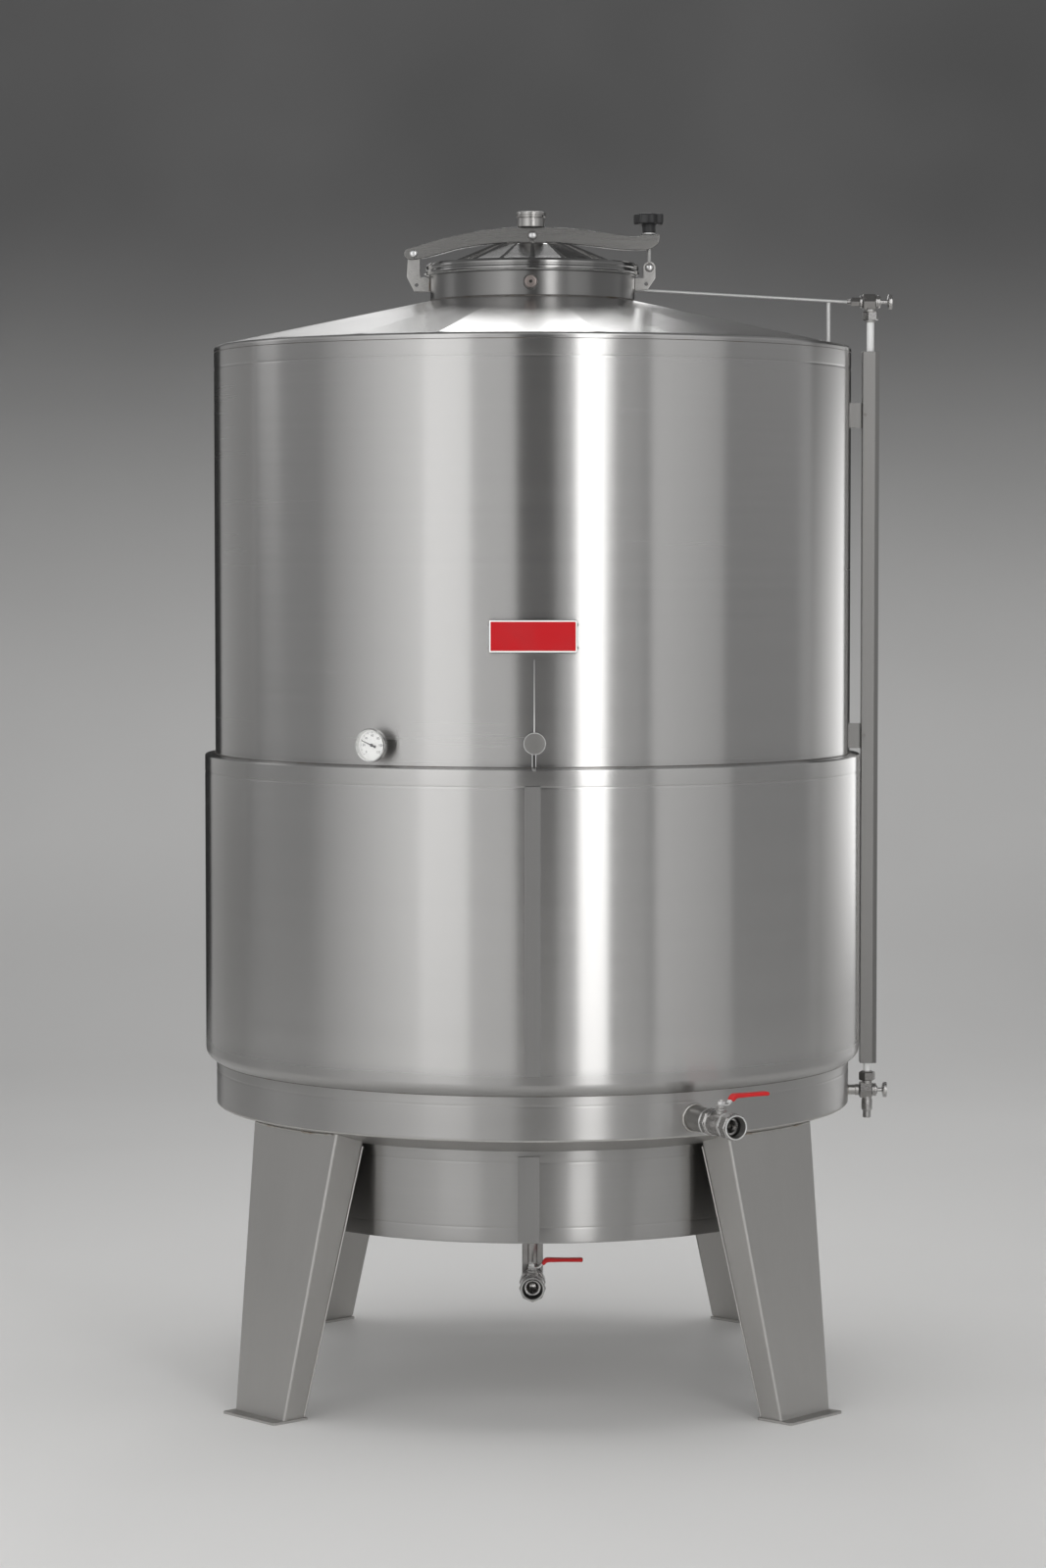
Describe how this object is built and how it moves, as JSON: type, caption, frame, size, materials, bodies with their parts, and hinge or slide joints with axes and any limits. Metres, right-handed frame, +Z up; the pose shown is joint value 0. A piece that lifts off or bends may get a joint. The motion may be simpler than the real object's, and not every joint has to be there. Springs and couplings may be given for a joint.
{
  "type": "vertical storage tank",
  "caption": "Round steel storage tank on tapered box legs, with a cone roof, clamped top manhole, jacket, level gauge, side outlet valve and bottom drain valve.",
  "frame": {"origin": "centre of the footprint box on the floor", "axes": "+Z up along the tank's axis, -Y towards the side that carries the nameplate, +X towards the level gauge"},
  "size_m": [1.374, 1.3577, 2.328],
  "materials": {
    "brushed_steel": "satin, grain running round the shell",
    "matt_steel": "matt grey stainless",
    "cast_steel": "cast, slightly grainy",
    "polished_steel": "polished",
    "white_rubber": "matt",
    "white_enamel": "matt",
    "red_enamel": "satin",
    "red_plastic": "satin",
    "black_plastic": "satin",
    "clear_glass": "clear"
  },
  "bodies": {
    "tank": {"bottom_cone": "matt_steel", "casing": "brushed_steel", "casing_seam": "brushed_steel", "clamp_bracket": "cast_steel", "dial_case": "brushed_steel", "dial_face": "white_enamel", "dial_glass": "clear_glass", "disc_plug": "brushed_steel", "drain_pipe": "brushed_steel", "drain_valve": "brushed_steel", "gauge_guard": "brushed_steel", "gauge_stub": "brushed_steel", "gauge_tube": "clear_glass", "guard_bracket_low": "matt_steel", "guard_bracket_top": "matt_steel", "hinge_bracket": "cast_steel", "jacket": "brushed_steel", "jacket_seam": "brushed_steel", "leg_back_left": "matt_steel", "leg_back_right": "matt_steel", "leg_front_left": "matt_steel", "leg_front_right": "matt_steel", "lower_cock": "matt_steel", "manhole_neck": "brushed_steel", "name_plate": "red_enamel", "neck_plug": "matt_steel", "roof_cone": "brushed_steel", "shell": "brushed_steel", "side_socket": "matt_steel", "side_valve": "brushed_steel", "upper_cock": "matt_steel", "vent_post": "brushed_steel", "vent_tube": "brushed_steel"},
    "lid_arm": {"lid": "brushed_steel", "lid_gasket": "white_rubber", "lid_arm": "cast_steel", "arm_pin": "cast_steel", "breather_cap": "brushed_steel"},
    "clamp_knob": {"clamp_knob": "black_plastic", "clamp_stud": "brushed_steel"},
    "side_lever": {"side_lever": "brushed_steel", "side_grip": "red_plastic", "side_ball": "polished_steel"},
    "drain_lever": {"drain_lever": "brushed_steel", "drain_grip": "red_plastic", "drain_ball": "polished_steel"},
    "upper_knob": {"upper_knob": "matt_steel"},
    "lower_knob": {"lower_knob": "matt_steel"},
    "dial_pointer": {"dial_pointer": "black_plastic"}
  },
  "joints": [
    {"name": "lid_arm_hinge", "type": "hinge", "parent": "tank", "child": "lid_arm", "pos_m": [-0.2682, 0.023, 2.245], "axis": [0, -1, 0], "range_deg": [0, 100]},
    {"name": "clamp_knob_turn", "type": "hinge", "parent": "lid_arm", "child": "clamp_knob", "pos_m": [0.2015, 0.023, 2.295], "axis": [0, 0, 1], "continuous": true},
    {"name": "side_lever_turn", "type": "hinge", "parent": "tank", "child": "side_lever", "pos_m": [0.32052, -0.61907, 0.587], "axis": [0, 0, -1], "range_deg": [0, 90]},
    {"name": "drain_lever_turn", "type": "hinge", "parent": "tank", "child": "drain_lever", "pos_m": [-0.031, -0.062, 0.184], "axis": [0, 0, -1], "range_deg": [0, 90]},
    {"name": "upper_knob_turn", "type": "hinge", "parent": "tank", "child": "upper_knob", "pos_m": [0.675, 0.023, 2.15], "axis": [1, 0, 0], "continuous": true},
    {"name": "lower_knob_turn", "type": "hinge", "parent": "tank", "child": "lower_knob", "pos_m": [0.675, 0.023, 0.5675], "axis": [1, 0, 0], "continuous": true},
    {"name": "dial_pointer_turn", "type": "hinge", "parent": "tank", "child": "dial_pointer", "pos_m": [-0.32836, -0.56061, 1.291], "axis": [0.454, 0.891, 0], "range_deg": [-66, 204]}
  ]
}
